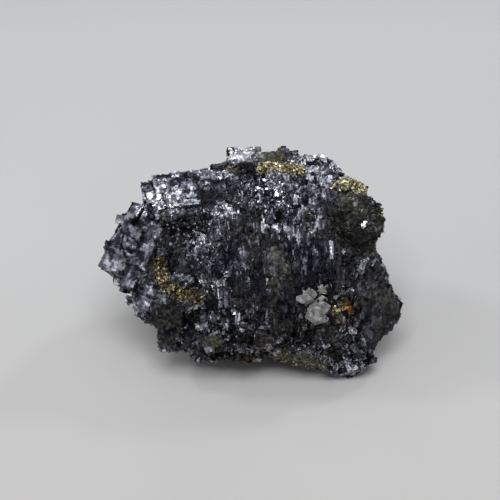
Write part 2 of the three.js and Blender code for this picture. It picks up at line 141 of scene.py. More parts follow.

# Parts of the front that look unlike the rest: middle and reach [right, up] in mm, and what is added to
# the attributes there. Shine runs from black to silver, matte from mirror to satin.
# Many of the shine patches are painted light and shade: lighter where faces catch the lamps, darker in the
# hollow, the crevices and along the bottom edge.
PATCHES = [
    # The striated panel in the middle.
    {"at": (8, 2), "reach": (20, 17), "rust": -0.4, "olive": -0.15, "shine": -0.16, "matte": 0.5},
    {"at": (19.5, 10.5), "reach": (4.5, 2.2), "shine": 0.22, "matte": 0.6},
    {"at": (20.5, 10.5), "reach": (3.4, 2.6), "shine": 0.34},
    {"at": (11, 7.5), "reach": (2, 2), "shine": 0.2, "matte": 0.6},
    {"at": (15, 12), "reach": (1.8, 3.2), "shine": 0.12, "matte": 0.6},
    {"at": (10, 11.5), "reach": (2, 2), "shine": -0.2},
    {"at": (7.6, 8), "reach": (2.8, 3), "shine": 0.32},
    {"at": (15.5, 6.5), "reach": (2.5, 3), "shine": 0.3},
    {"at": (13, 5), "reach": (3, 4), "shine": -0.1},
    {"at": (22, 6), "reach": (3, 5), "shine": -0.15},
    {"at": (21.5, 3.6), "reach": (4, 3), "shine": 0.15},
    {"at": (22, -1), "reach": (4, 5), "shine": -0.22},
    {"at": (13.7, 0.5), "reach": (2.2, 3), "shine": -0.15},
    {"at": (8, -1), "reach": (4, 6), "shine": -0.15, "olive": 0.35},
    {"at": (2, -1), "reach": (3, 9), "shine": -0.15},
    {"at": (1.8, 7.5), "reach": (1.6, 5), "shine": -0.28},
    {"at": (-1.5, 11), "reach": (2.6, 7), "shine": -0.42},
    {"at": (-2.6, 0), "reach": (1.8, 5.4), "shine": 0.24, "matte": 0.5},
    {"at": (-4.8, -3.3), "reach": (3, 3), "shine": 0.12},
    {"at": (-9.3, 1), "reach": (2, 6.5), "shine": -0.2},
    {"at": (-9.8, -1.5), "reach": (2, 3.5), "shine": -0.15},
    {"at": (-8.8, -8), "reach": (3, 3.4), "shine": 0.28, "matte": 0.5},
    {"at": (6, -8), "reach": (18, 6), "shine": -0.08},
    {"at": (25, -6), "reach": (6, 9), "shine": -0.15},
    {"at": (27, -6.3), "reach": (2.5, 4), "shine": -0.15},
    # The mosaic above the panel.
    {"at": (18, 14.5), "reach": (4, 3), "shine": 0.15},
    {"at": (5.5, 15), "reach": (3.5, 5), "shine": -0.18},
    {"at": (2.8, 18), "reach": (2.5, 4), "shine": -0.22},
    {"at": (12, 18), "reach": (2.5, 2.5), "shine": -0.2},
    {"at": (11.5, 21.5), "reach": (2, 2), "shine": 0.15},
    {"at": (17, 21.5), "reach": (2, 3), "shine": -0.2},
    {"at": (-1, 23), "reach": (3.5, 5), "shine": -0.2},
    {"at": (-3.4, 19.6), "reach": (2.5, 3), "shine": -0.25},
    {"at": (-9, 22.3), "reach": (2.5, 2.5), "shine": -0.25},
    {"at": (-7, 26), "reach": (3.5, 1.8), "shine": 0.4},
    {"at": (-8, 18.5), "reach": (8, 2.6), "shine": -0.16},
    {"at": (-9, 14), "reach": (5, 3), "shine": 0.12, "matte": 0.5},
    {"at": (-8.8, 14.8), "reach": (4, 1.8), "shine": 0.25},
    # The top block and the upper faces to its right, painted lighter as lit from above, the dip before the
    # block painted dark as shade, and the ridge to its right.
    {"at": (-2, 32), "reach": (8, 3), "shine": 0.62, "rust": -0.6, "matte": 0.4},
    {"at": (-1, 27.8), "reach": (3.6, 1.9), "shine": -1.0, "rust": -0.4},
    {"at": (5, 32), "reach": (5, 2.4), "shine": -0.2, "rust": -0.6, "olive": 0.45, "matte": 0.4},
    {"at": (12, 31), "reach": (7, 3), "shine": -0.05, "olive": 0.4, "rust": -0.5},
    {"at": (13, 29.5), "reach": (3, 2.6), "shine": 0.15},
    {"at": (17.5, 30.5), "reach": (3, 2), "shine": -0.2},
    {"at": (24.5, 26.5), "reach": (3, 1.8), "shine": 0.2},
    {"at": (20, 24), "reach": (13, 9), "shine": 0.2, "matte": 0.9, "rust": -0.6, "olive": -0.3},
    # The slab at the upper left, painted lighter on its top, with a painted highlight along its lower edge.
    {"at": (-18, 22), "reach": (16, 8), "shine": 0.16, "matte": 0.9, "rust": -0.9, "olive": -0.3},
    {"at": (-25.5, 15.8), "reach": (4.6, 2), "shine": 0.35, "matte": -0.6},
    {"at": (-29.4, 19.2), "reach": (1.8, 2.6), "shine": 0.5, "matte": -0.3},
    {"at": (-23, 19), "reach": (5, 1.4), "shine": -0.1},
    {"at": (-20, 22), "reach": (3, 2), "shine": 0.15},
    {"at": (-15, 24.5), "reach": (4, 3), "shine": 0.15},
    {"at": (-18, 23.5), "reach": (3, 3), "shine": -0.35},
    {"at": (-18.7, 25.2), "reach": (2.5, 1.6), "shine": -0.25},
    {"at": (-23, 26.5), "reach": (6, 1.8), "shine": -0.18},
    {"at": (-30, 26), "reach": (5, 1.8), "shine": -0.3},
    {"at": (-30.6, 22.5), "reach": (3, 2), "shine": -0.2},
    {"at": (-13.7, 20.8), "reach": (2.5, 2), "shine": -0.18},
    {"at": (-12, 19), "reach": (3, 4), "shine": -0.25},
    # The stack of cubes at the left, painted lighter where its faces catch the light.
    {"at": (-38, 2), "reach": (11, 16), "shine": 0.19, "matte": 0.9, "rust": -0.9, "olive": -0.3},
    {"at": (-30, -11), "reach": (6, 6), "shine": 0.14, "matte": 0.8, "rust": -0.9},
    {"at": (-32.6, 14.8), "reach": (1.9, 2.6), "shine": 0.45, "matte": -0.4},
    {"at": (-29.8, 15), "reach": (1.2, 2.6), "shine": -0.4},
    {"at": (-27.9, 12), "reach": (1.6, 3), "shine": 0.25},
    {"at": (-29, 8), "reach": (2.4, 4), "shine": 0.4},
    {"at": (-35, 8.6), "reach": (3, 4), "shine": -0.2},
    {"at": (-29, 4), "reach": (4, 5), "rust": -0.8},
    {"at": (-31.5, 3.6), "reach": (2, 4), "shine": -0.15},
    {"at": (-35, 4.1), "reach": (2, 1.6), "shine": -0.3},
    {"at": (-36, 1.5), "reach": (3, 3), "shine": -0.15},
    {"at": (-40.4, 3), "reach": (2.5, 2.5), "shine": -0.22},
    {"at": (-36, -8.3), "reach": (2, 3), "shine": 0.2},
    {"at": (-27.4, -11), "reach": (2.2, 2.5), "shine": 0.2},
    # The hollow between the stack, the slab and the panel, painted darker as the shade in it, with some
    # lighter parts.
    {"at": (-25, 12.6), "reach": (4, 1.3), "shine": -0.4},
    {"at": (-21, 13), "reach": (7, 1.6), "shine": -0.2},
    {"at": (-12.5, 12), "reach": (5, 2.4), "shine": -0.2},
    {"at": (-22, 9.5), "reach": (8, 4.5), "shine": -0.22, "rust": -0.5},
    {"at": (-14.2, 7.6), "reach": (1.5, 2), "shine": -0.2},
    {"at": (-17.3, 5.8), "reach": (3.6, 4), "shine": 0.16},
    {"at": (-15.5, 4.5), "reach": (4, 4.5), "shine": 0.12, "matte": 0.3},
    {"at": (-21, 0), "reach": (5, 6), "shine": -0.12, "rust": -0.5, "matte": 0.5},
    # The zinc ore on the right shoulder, a painted glint in it, painted shade in the crevice under it,
    # painted light on its top, and the right flank below.
    {"at": (32, 11), "reach": (10, 11.5), "shine": -0.2, "ore": 1.0, "rust": -0.6, "olive": -0.3},
    {"at": (33.5, 11.6), "reach": (1.3, 0.9), "shine": 0.45, "ore": -2},
    {"at": (24.5, 13.5), "reach": (3.5, 2.5), "shine": -0.6},
    {"at": (30.5, 8.5), "reach": (4, 2), "shine": -0.6},
    {"at": (25.2, 1), "reach": (2, 3.4), "shine": -0.35},
    {"at": (34, 5), "reach": (6, 2.5), "shine": -0.5},
    {"at": (31, 17), "reach": (6, 3), "shine": 0.35},
    {"at": (37, -14), "reach": (8, 15), "shine": -0.06, "ore": 0.3, "matte": 0.4, "rust": -0.8},
    # Round the quartz, with the rusty stain beside it.
    {"at": (11, -13), "reach": (2.5, 4), "shine": 0.15},
    {"at": (12.6, -12.2), "reach": (2.5, 2.5), "shine": 0.22},
    {"at": (21.5, -9), "reach": (5, 3), "shine": -0.2},
    {"at": (24, -14), "reach": (3, 4), "shine": -0.08},
    {"at": (30.2, -13), "reach": (2.8, 2.6), "shine": -0.15, "rust": 1.2},
    {"at": (27, -16), "reach": (3, 3), "shine": -0.1, "rust": 0.45},
    # The lower part, from left to right.
    {"at": (-26, -18), "reach": (5.5, 8), "shine": -0.15, "olive": 0.25, "matte": 0.6, "rust": -0.5},
    {"at": (-22.5, -19), "reach": (2.4, 5), "shine": -0.25},
    {"at": (-17, -23), "reach": (3, 3), "shine": -0.3},
    # Along the bottom edge: painted shade under the lump's lower rim.
    {"at": (-12, -28.5), "reach": (16, 2), "shine": -0.25},
    {"at": (-11, -24), "reach": (3.2, 2), "olive": 1.0, "matte": 0.6},
    {"at": (-10, -20), "reach": (12, 8), "shine": -0.18, "rust": -0.4},
    {"at": (-13, -12.4), "reach": (2.5, 1.8), "shine": 0.2},
    {"at": (-6.6, -16.6), "reach": (6.6, 2.6), "shine": 0.24, "matte": 0.3},
    {"at": (-5.3, -17.8), "reach": (3, 2), "shine": 0.15},
    {"at": (-4.8, -13.4), "reach": (2, 3), "shine": -0.2},
    {"at": (3.7, -17.7), "reach": (1.8, 3), "shine": -0.25},
    {"at": (8, -17), "reach": (4, 4), "shine": -0.2},
    {"at": (10, -15), "reach": (24, 9), "shine": -0.2, "rust": -0.4},
    {"at": (10, -24), "reach": (22, 6), "shine": -0.05, "olive": 0.2},
    {"at": (12, -30), "reach": (12, 3), "olive": 0.8, "shine": -0.1},
    {"at": (28.5, -21), "reach": (4, 3), "shine": 0.15},
    {"at": (28, -26), "reach": (7, 4), "shine": -0.08},
    {"at": (31, -32), "reach": (4, 2.6), "shine": 0.12},
]

# Crusts of brassy grains: lines of [right, up] points of the front, half width, number of grains and how
# bright they are. The galena round them is stained olive by this much.
CRUST_OLIVE = 0.9
CRUSTS = [
    {"line": [(-27.6, 0), (-27, -3.9), (-24.6, -7.7), (-20.5, -9.5), (-16, -10.7)], "width": 1.8,
     "grains": 1300, "shade": -0.16},
    {"line": [(-6.4, 27.4), (-4.8, 27.2)], "width": 0.9, "grains": 110, "shade": -0.1},
    {"line": [(3, 27.6), (8.6, 28.2), (12, 27.6), (14.8, 26.6)], "width": 1.2, "grains": 1100,
     "shade": 0.14},
    {"line": [(25.8, 22.4), (29.4, 23.2), (33, 21.4)], "width": 1.6, "grains": 950, "shade": 0.2},
    {"line": [(5.6, -29), (11.6, -30.2), (17.5, -31.2)], "width": 1.3, "grains": 160, "shade": -0.2},
    {"line": [(37.5, 17), (38.3, 14)], "width": 0.8, "grains": 60, "shade": -0.05},
    {"line": [(25.5, -14), (27.5, -12)], "width": 1.2, "grains": 70, "shade": -0.1},
    {"line": [(24.8, -14.5), (26.5, -17.5)], "width": 1.1, "grains": 70, "shade": -0.25},
]
# Scattered crusts behind: how many, how far each reaches (mm) and its number of grains.
BACK_CRUSTS = 4
BACK_CRUST_REACH = 4
BACK_CRUST_GRAINS = 130

# Partings: straight dark cracks across the front, along the cleavage. Their half width is in mm, and the
# shade is what they take from the shine.
PARTINGS = [
    [(-14, 13.2), (3, 13.2)],
    [(-5, 6), (15, 6)],
    [(-40, -6.5), (-27, -11.5)],
    [(-31, 19.5), (-27.6, 12.5)],
]
PARTING_WIDTH = 0.4
PARTING_SHADE = 0.35

# Milky quartz grains: middle [right, up], size along right, up and near, and roll in degrees.
QUARTZ = [
    {"at": (19.4, -14.7), "size": (10.6, 9, 3.8), "roll": 38},
    {"at": (16.2, -10), "size": (6.8, 5.4, 3.2), "roll": 42},
    {"at": (21.6, -8), "size": (7, 4.6, 3), "roll": 12},
    {"at": (24.8, -10.6), "size": (2.4, 2.2, 2), "roll": 0},
    {"at": (-16.2, 3), "size": (1.8, 2.6, 1.8), "roll": 0},
]
SHARDS_PER_GRAIN = 4
GRAIN_FOOT = 0.36  # no block grows this near a grain's middle, as a share of its size
ZINC_ORE_GRAINS = 1500

# The rest of the lump is broken into this many crystals, with their middles at least this far apart (mm).
PLAIN_CRYSTALS = 120
CRYSTAL_SPACING = 8.5

# Cleavage blocks by size: how many, their scale, how far they stand out (mm), how far they are shaken out of
# line (radians) and how chipped their corners are.
GALENA_BLOCKS = {
    "galena_plates": (40, 2.6, 0.3, 0.02, 0.06),
    "galena_blocks": (360, 1.8, 0.4, 0.02, 0.03),
    "galena_steps": (9000, 1.0, 0.8, 0.025, 0.06),
    "galena_fine_steps": (16000, 0.5, 0.6, 0.06, 0.1),
}
# They snap to this grid, times their scale, and get no narrower than this (mm).
BLOCK_GRID = 0.35
NARROWEST_BLOCK = 0.35

random = np.random.default_rng(82)


# Camera, light and table
def place_camera():
    """A camera that looks down on the front of the lump."""
    data = bpy.data.cameras.new("camera")
    camera = bpy.data.objects.new("camera", data)
    bpy.context.scene.collection.objects.link(camera)
    camera.location = (MIDDLE + NEAR * CAMERA_AWAY) * MM
    camera.rotation_euler = Euler((math.pi / 2 - LOOK_DOWN, 0, 0))
    data.sensor_width = SENSOR_WIDTH
    data.lens = SENSOR_WIDTH * CAMERA_AWAY / (PICTURE_WIDTH * PIXEL_SPAN)
    data.shift_x = 0.5 - MIDDLE_PIXEL[0] / PICTURE_WIDTH
    data.shift_y = MIDDLE_PIXEL[1] / PICTURE_WIDTH - 0.5
    data.clip_start = 0.01
    bpy.context.scene.camera = camera


def place_lamp(name, place, size, power):
    """A square soft light that faces the lump."""
    data = bpy.data.lights.new(name, "AREA")
    data.size = size
    data.energy = power
    lamp = bpy.data.objects.new(name, data)
    lamp.location = place
    lamp.rotation_euler = (Vector(place) - LAMPS_FACE).to_track_quat("Z", "Y").to_euler()
    bpy.context.scene.collection.objects.link(lamp)


def paint_room():
    """A pale room, the same all round: its floor and ceiling are bright and its walls dim."""
    world = bpy.data.worlds.new("room")
    bpy.context.scene.world = world
    world.use_nodes = True
    tree = world.node_tree
    tree.nodes.clear()
    out = tree.nodes.new("ShaderNodeOutputWorld")
    back = tree.nodes.new("ShaderNodeBackground")
    split = tree.nodes.new("ShaderNodeSeparateXYZ")
    coord = tree.nodes.new("ShaderNodeTexCoord")
    tree.links.new(coord.outputs["Generated"], split.inputs[0])
    tones = [(height, tuple(level * tint for tint in ROOM_TINT)) for height, level in ROOM_LEVELS]
    tree.links.new(colour_ramp(tree, split.outputs["Z"], tones), back.inputs["Color"])
    tree.links.new(back.outputs[0], out.inputs[0])


def light_room():
    paint_room()
    for lamp in LAMPS:
        place_lamp(*lamp)
    for number in range(SOFT_BOXES):
        turn = math.radians(360 / SOFT_BOXES * number + SOFT_BOX_ANGLE)
        place = (SOFT_BOX_AWAY * math.cos(turn), SOFT_BOX_AWAY * math.sin(turn), SOFT_BOX_HEIGHT)
        place_lamp(f"softbox_{number}", place, SOFT_BOX_SIZE, SOFT_BOX_POWER)


def lay_floor():
    """The pale table that the lump lies on."""
    bm = bmesh.new()
    bmesh.ops.create_grid(bm, x_segments=1, y_segments=1, size=TABLE_REACH)
    mesh = bpy.data.meshes.new("floor")
    bm.to_mesh(mesh)
    bm.free()
    floor = bpy.data.objects.new("floor", mesh)
    bpy.context.scene.collection.objects.link(floor)
    mesh.materials.append(pale_table_material())


# Shader parts
def new_material(name):
    material = bpy.data.materials.new(name)
    material.use_nodes = True
    tree = material.node_tree
    return material, tree, tree.nodes["Principled BSDF"]


def object_place(tree):
    return tree.nodes.new("ShaderNodeTexCoord").outputs["Object"]


def noise_texture(tree, scale, detail=4, rough=0.55, place=None):
    node = tree.nodes.new("ShaderNodeTexNoise")
    node.inputs["Scale"].default_value = scale
    node.inputs["Detail"].default_value = detail
    node.inputs["Roughness"].default_value = rough
    tree.links.new(object_place(tree) if place is None else place, node.inputs["Vector"])
    return node.outputs["Fac"]


def colour_ramp(tree, value, stops):
    node = tree.nodes.new("ShaderNodeValToRGB")
    while len(node.color_ramp.elements) < len(stops):
        node.color_ramp.elements.new(0.5)
    for element, (position, colour) in zip(node.color_ramp.elements, stops):
        element.position = position
        element.color = (*colour, 1)
    tree.links.new(value, node.inputs[0])
    return node.outputs[0]


def attribute(tree, name):
    node = tree.nodes.new("ShaderNodeAttribute")
    node.attribute_name = name
    return node.outputs["Fac"]


def mix_colours(tree, share, first, second):
    """The two colours mixed: sockets, or a plain colour as three numbers."""
    node = tree.nodes.new("ShaderNodeMix")
    node.data_type = "RGBA"
    for value, place in ((share, 0), (first, 6), (second, 7)):
        if isinstance(value, tuple):
            node.inputs[place].default_value = (*value, 1)
        else:
            tree.links.new(value, node.inputs[place])
    return node.outputs[2]


def arithmetic(tree, operation, first, second, third=None, clamp=True):
    """A sum of sockets or numbers, held from 0 to 1 unless it is a difference or `clamp` is off."""
    node = tree.nodes.new("ShaderNodeMath")
    node.operation = operation
    node.use_clamp = clamp and operation != "SUBTRACT"
    for place, value in enumerate((first, second, third)):
        if value is None:
            continue
        if isinstance(value, (int, float)):
            node.inputs[place].default_value = value
        else:
            tree.links.new(value, node.inputs[place])
    return node.outputs[0]


def map_range(tree, value, low, high, to_low, to_high):
    node = tree.nodes.new("ShaderNodeMapRange")
    for place, number in zip((1, 2, 3, 4), (low, high, to_low, to_high)):
        node.inputs[place].default_value = number
    tree.links.new(value, node.inputs[0])
    return node.outputs[0]


def vector_arithmetic(tree, operation, first, second, output="Vector"):
    node = tree.nodes.new("ShaderNodeVectorMath")
    node.operation = operation
    for place, value in enumerate((first, second)):
        if isinstance(value, tuple):
            node.inputs[place].default_value = value
        else:
            tree.links.new(value, node.inputs[place])
    return node.outputs[output]


def add_bump(tree, shader, height, strength, depth):
    node = tree.nodes.new("ShaderNodeBump")
    node.inputs["Strength"].default_value = strength
    node.inputs["Distance"].default_value = depth
    tree.links.new(height, node.inputs["Height"])
    tree.links.new(node.outputs[0], shader.inputs["Normal"])


def stretched_place(tree, stretch):
    """Object coordinates in which things come out `stretch` times longer from foot to top."""
    node = tree.nodes.new("ShaderNodeMapping")
    node.inputs["Rotation"].default_value = (LOOK_DOWN, 0, 0)
    node.inputs["Scale"].default_value = (1, 1, 1 / stretch)
    tree.links.new(object_place(tree), node.inputs["Vector"])
    return node.outputs[0]


def facets(tree, scale, slope, depth, stretch=1):
    """Small flat facets that each tilt their own way: their height, in units of `depth`, and a random
    tone."""
    cell = tree.nodes.new("ShaderNodeTexVoronoi")
    cell.distance = "CHEBYCHEV"
    cell.inputs["Scale"].default_value = scale
    place = stretched_place(tree, stretch)
    tree.links.new(place, cell.inputs["Vector"])
    inside = vector_arithmetic(tree, "SUBTRACT", place, cell.outputs["Position"])
    tilt = vector_arithmetic(tree, "SUBTRACT", cell.outputs["Color"], (0.5, 0.5, 0.5))
    rise = vector_arithmetic(tree, "DOT_PRODUCT", inside, tilt, "Value")
    height = arithmetic(tree, "MULTIPLY_ADD", rise, slope / depth, 0.5)
    split = tree.nodes.new("ShaderNodeSeparateColor")
    tree.links.new(cell.outputs["Color"], split.inputs[0])
    return height, split.outputs[0]


def hairlines(tree, scale, stretch, width):
    """Thin broken lines along the edges of stretched cells, 1 on a line and 0 off it."""
    place = stretched_place(tree, stretch)
    distances = []
    for feature in ("F2", "F1"):
        cell = tree.nodes.new("ShaderNodeTexVoronoi")
        cell.distance = "MANHATTAN"
        cell.feature = feature
        cell.inputs["Scale"].default_value = scale
        tree.links.new(place, cell.inputs["Vector"])
        distances.append(cell.outputs["Distance"])
    line = map_range(tree, arithmetic(tree, "SUBTRACT", *distances), 0, width, 1.0, 0.0)
    broken = map_range(tree, noise_texture(tree, 0.6 * scale, 3), 0.5, 0.58, 0.0, 1.0)
    return arithmetic(tree, "MULTIPLY", line, broken)


def flecked_shade(tree, scale, spread):
    """The attribute `shade`, made up to `spread` lighter or darker in flecks."""
    fleck = map_range(tree, noise_texture(tree, scale), 0.3, 0.7, -spread, spread)
    return arithmetic(tree, "ADD", attribute(tree, "shade"), fleck)


# Materials
def pale_table_material():
    """Plain pale tabletop, a little clouded near the viewer and paler farther off, as painted light."""
    material, tree, shader = new_material("pale_table")
    split = tree.nodes.new("ShaderNodeSeparateXYZ")
    tree.links.new(object_place(tree), split.inputs[0])
    farther = map_range(tree, split.outputs["Y"], *TABLE_FADE, 0.0, 1.0)
    near_tone = colour_ramp(tree, noise_texture(tree, 9, 3), NEAR_TABLE_TONES)
    tree.links.new(mix_colours(tree, farther, near_tone, FAR_TABLE_TONE), shader.inputs["Base Color"])
    shader.inputs["Roughness"].default_value = 0.6
    return material


def galena_shine(tree, tone, roughened):
    """The attribute `shine` with fine specks, stains on calm faces and painted glints along hairlines."""
    fine = noise_texture(tree, 1500, 3, 0.6)
    speck = arithmetic(tree, "MULTIPLY_ADD", fine, 0.65, arithmetic(tree, "MULTIPLY", tone, 0.35))
    speck = arithmetic(tree, "MULTIPLY", arithmetic(tree, "SUBTRACT", speck, 0.5), roughened, clamp=False)
    shine = arithmetic(tree, "ADD", attribute(tree, "shine"), speck)
    stain = map_range(tree, noise_texture(tree, 330, 4, 0.6), 0.5, 0.56, 0.0, 0.3)
    stain = arithmetic(tree, "MULTIPLY", stain, attribute(tree, "calm"))
    shine = arithmetic(tree, "SUBTRACT", shine, stain)
    glint = arithmetic(tree, "MULTIPLY", hairlines(tree, 700, 2, 0.15), roughened)
    return arithmetic(tree, "MULTIPLY_ADD", glint, 0.55, shine)


def stained(tree, colour):
    """The colour with resinous dark, olive and rust over it, and how dull they make it."""
    grain = noise_texture(tree, 900)
    speckle = map_range(tree, noise_texture(tree, 450, 5), 0.4, 0.6, 0.0, 1.0)
    dull = None
    for name, tones in STAIN_TONES.items():
        amount = attribute(tree, name)
        share = arithmetic(tree, "ADD", arithmetic(tree, "MULTIPLY_ADD", amount, 2.0, -1.0),
                           arithmetic(tree, "MULTIPLY", amount, speckle))
        colour = mix_colours(tree, share, colour, colour_ramp(tree, grain, tones))
        dull = share if dull is None else arithmetic(tree, "MAXIMUM", dull, share)
    return colour, dull


def galena_relief(tree, height, roughened):
    """The facets' height with ribs from foot to top and a fine grain added."""
    height = arithmetic(tree, "SUBTRACT", height, 0.5)
    height = arithmetic(tree, "MULTIPLY_ADD", height, roughened, 0.5)
    ribs = noise_texture(tree, 1900, 2, place=stretched_place(tree, 8))
    ribs = arithmetic(tree, "MULTIPLY", ribs, attribute(tree, "ribbed"))
    height = arithmetic(tree, "MULTIPLY_ADD", ribs, 0.12, height)
    return arithmetic(tree, "MULTIPLY_ADD", noise_texture(tree, 2600, 3), 0.06, height)


def galena_material():
    """Lead-grey metal, near black to silver by the attribute `shine`, smoother where it is `calm`,
    duller where it is `matte`, with olive, resinous dark (`ore`) and rusty parts."""
    material, tree, shader = new_material("galena")
    height, tone = facets(tree, 1900, 0.9, FACET_DEPTH, 2.2)
    roughened = map_range(tree, attribute(tree, "calm"), 0, 1, 1.0, 0.3)
    metal = colour_ramp(tree, galena_shine(tree, tone, roughened), GALENA_TONES)
    colour, dull = stained(tree, metal)
    tree.links.new(colour, shader.inputs["Base Color"])
    tree.links.new(map_range(tree, dull, 0, 1, 1.0, 0.1), shader.inputs["Metallic"])
    rough = map_range(tree, noise_texture(tree, 600, 4), 0.35, 0.65, 0.14, 0.4)
    rough = arithmetic(tree, "ADD", rough, arithmetic(tree, "MULTIPLY", dull, 0.22))
    rough = arithmetic(tree, "MULTIPLY_ADD", attribute(tree, "matte"), 0.3, rough)
    tree.links.new(rough, shader.inputs["Roughness"])
    add_bump(tree, shader, galena_relief(tree, height, roughened), 0.7, FACET_DEPTH)
    return material


def zinc_ore_material():
    """Dark brown to black, resinous, with some brighter grain faces."""
    material, tree, shader = new_material("zinc_ore")
    colour = colour_ramp(tree, flecked_shade(tree, 800, 0.2), ZINC_ORE_TONES)
    tree.links.new(colour, shader.inputs["Base Color"])
    tree.links.new(map_range(tree, attribute(tree, "shade"), 0.4, 1, 0.1, 0.8), shader.inputs["Metallic"])
    rough = map_range(tree, noise_texture(tree, 500), 0.3, 0.7, 0.28, 0.6)
    tree.links.new(rough, shader.inputs["Roughness"])
    shader.inputs["IOR"].default_value = 1.5
    shader.inputs["Specular IOR Level"].default_value = 0.25
    add_bump(tree, shader, noise_texture(tree, 2500, 4), 0.35, 0.00015)
    return material


def brassy_material():
    """Brass-yellow metal grains, tarnished olive to dark bronze."""
    material, tree, shader = new_material("brassy_sulphide")
    colour = colour_ramp(tree, flecked_shade(tree, 1600, 0.22), BRASSY_TONES)
    tree.links.new(colour, shader.inputs["Base Color"])
    shader.inputs["Metallic"].default_value = 0.85
    rough = map_range(tree, noise_texture(tree, 900), 0.3, 0.7, 0.32, 0.62)
    tree.links.new(rough, shader.inputs["Roughness"])
    add_bump(tree, shader, noise_texture(tree, 3000, 3), 0.3, 0.0001)
    return material


def quartz_material():
    """Milky grey quartz with a wet-looking shine and clouded patches."""
    material, tree, shader = new_material("quartz")
    cloud = noise_texture(tree, 600, 6, 0.7)
    tree.links.new(colour_ramp(tree, cloud, QUARTZ_TONES), shader.inputs["Base Color"])
    shader.inputs["Subsurface Weight"].default_value = 0.25
    shader.inputs["Subsurface Radius"].default_value = (0.9, 0.9, 1.0)
    shader.inputs["Subsurface Scale"].default_value = 0.0012
    tree.links.new(map_range(tree, cloud, 0.3, 0.7, 0.45, 0.2), shader.inputs["Roughness"])
    depth = 0.001
    height, _ = facets(tree, 700, 0.8, depth)
    add_bump(tree, shader, height, 0.8, depth)
    return material


# The surface to grow on
def rock_surface():
    """The lump's own surface as one mesh, evened out."""
    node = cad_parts["galena_rock"]
    bm = bmesh.new()
    bm.from_mesh(node.data)
    bmesh.ops.remove_doubles(bm, verts=bm.verts, dist=1e-7)
    mesh = bpy.data.meshes.new("galena_mass")
    bm.to_mesh(mesh)
    bm.free()
    rough = bpy.data.objects.new("galena_mass_rough", mesh)
    bpy.context.scene.collection.objects.link(rough)
    remesh = rough.modifiers.new("even", "REMESH")
    remesh.mode = "VOXEL"
    remesh.voxel_size = BODY_FACE * MM
    graph = bpy.context.evaluated_depsgraph_get()
    even = bpy.data.meshes.new_from_object(rough.evaluated_get(graph))
    bpy.data.objects.remove(rough)
    even.name = "galena_mass"
    return even


def read_points(mesh):
    """The mesh's points in mm, and their normals."""
    points = np.empty(len(mesh.vertices) * 3)
    mesh.vertices.foreach_get("co", points)
    normals = np.empty(len(mesh.vertices) * 3)
    mesh.vertices.foreach_get("normal", normals)
    return points.reshape(-1, 3) / MM, normals.reshape(-1, 3)


def to_view(points):
    """Right and up of each point, as the camera sees it against the plane through the middle, and near."""
    seen = (points - np.array(MIDDLE)) @ AXES.T
    seen[:, :2] *= (CAMERA_AWAY / (CAMERA_AWAY - seen[:, 2]))[:, None]
    return seen


def from_view(vector):
    return np.asarray(vector) @ AXES


def waves(points, scale, seed):
    """Smooth noise from -1 to 1 at each point, with waves about `scale` mm long."""
    shift = Vector((seed * 17.3, seed * 5.1, seed * 9.7))
    return np.array([noise.noise(Vector(p) / scale + shift) for p in points])


def away_from(seen, spot):
    """Each point's distance from a spot's middle, as a share of the spot's reach."""
    return np.hypot(*((seen[:, i] - spot["at"][i]) / spot["reach"][i] for i in (0, 1)))


def away_from_line(seen, line):
    """Distance of each point from a line of [right, up] points, as the viewer sees it."""
    best = np.full(len(seen), np.inf)
    for start, end in zip(line, line[1:]):
        start, end = np.array(start), np.array(end)
        run = end - start
        share = np.clip((seen[:, :2] - start) @ run / (run @ run), 0, 1)
        best = np.minimum(best, np.linalg.norm(seen[:, :2] - start - share[:, None] * run, axis=1))
    return best


def bulge(points, normals, seen):
    """The points moved in or out along their normals, on the front alone."""
    rise = np.zeros(len(points))
    for spot in BULGES:
        rise += spot["rise"] * np.clip(1.4 - away_from(seen, spot), 0, 1)
    rise *= (normals @ np.array(NEAR) > -0.6) & (points[:, 2] > 2)
    return points + normals * rise[:, None]


def looks_at(seen, normals):
    """The material's attributes at each point, from the patches and from broad waves."""
    front = np.clip((normals @ np.array(NEAR)) * 4 + 0.6, 0, 1)
    shine = 0.34 + 0.12 * waves(seen, 9, 1) + 0.1 * waves(seen, 3.5, 2)
    olive = 0.15 + 0.5 * waves(seen, 12, 3)
    rust = 0.3 * waves(seen, 14, 4) - 0.06
    ore = 0.05 + 0.6 * waves(seen, 17, 6)
    matte = 0.3 * waves(seen, 11, 9)
    wobble = waves(seen, 4, 5)
    values = {"shine": shine, "olive": olive, "rust": rust, "ore": ore, "matte": matte}
    for patch in PATCHES:
        share = front * np.clip((1.15 - away_from(seen, patch) + 0.25 * wobble) / 0.4, 0, 1)
        for key in values:
            values[key] += share * patch.get(key, 0)
    return values


# Crystals
def turn_to(facing, roll):
    """Rotation whose columns are a lattice's three axes, in the row's axes, with the third along
    `facing`."""
    outward = Vector(from_view(Vector(facing).normalized()))
    seen_up = Vector(from_view((0, 1, 0)))
    across = seen_up.cross(outward).normalized()
    along = outward.cross(across)
    turned = Matrix((across, along, outward)).transposed()
    return np.array(turned @ Matrix.Rotation(math.radians(roll), 3, "Z"))


def turn_of_block(degrees):
    """The same for a block turned by Euler angles in the viewer's axes."""
    x, y, z = (math.radians(angle) for angle in degrees)
    local = Matrix.Rotation(x, 3, "X") @ Matrix.Rotation(y, 3, "Y") @ Matrix.Rotation(z, 3, "Z")
    return AXES.T @ np.array(local)
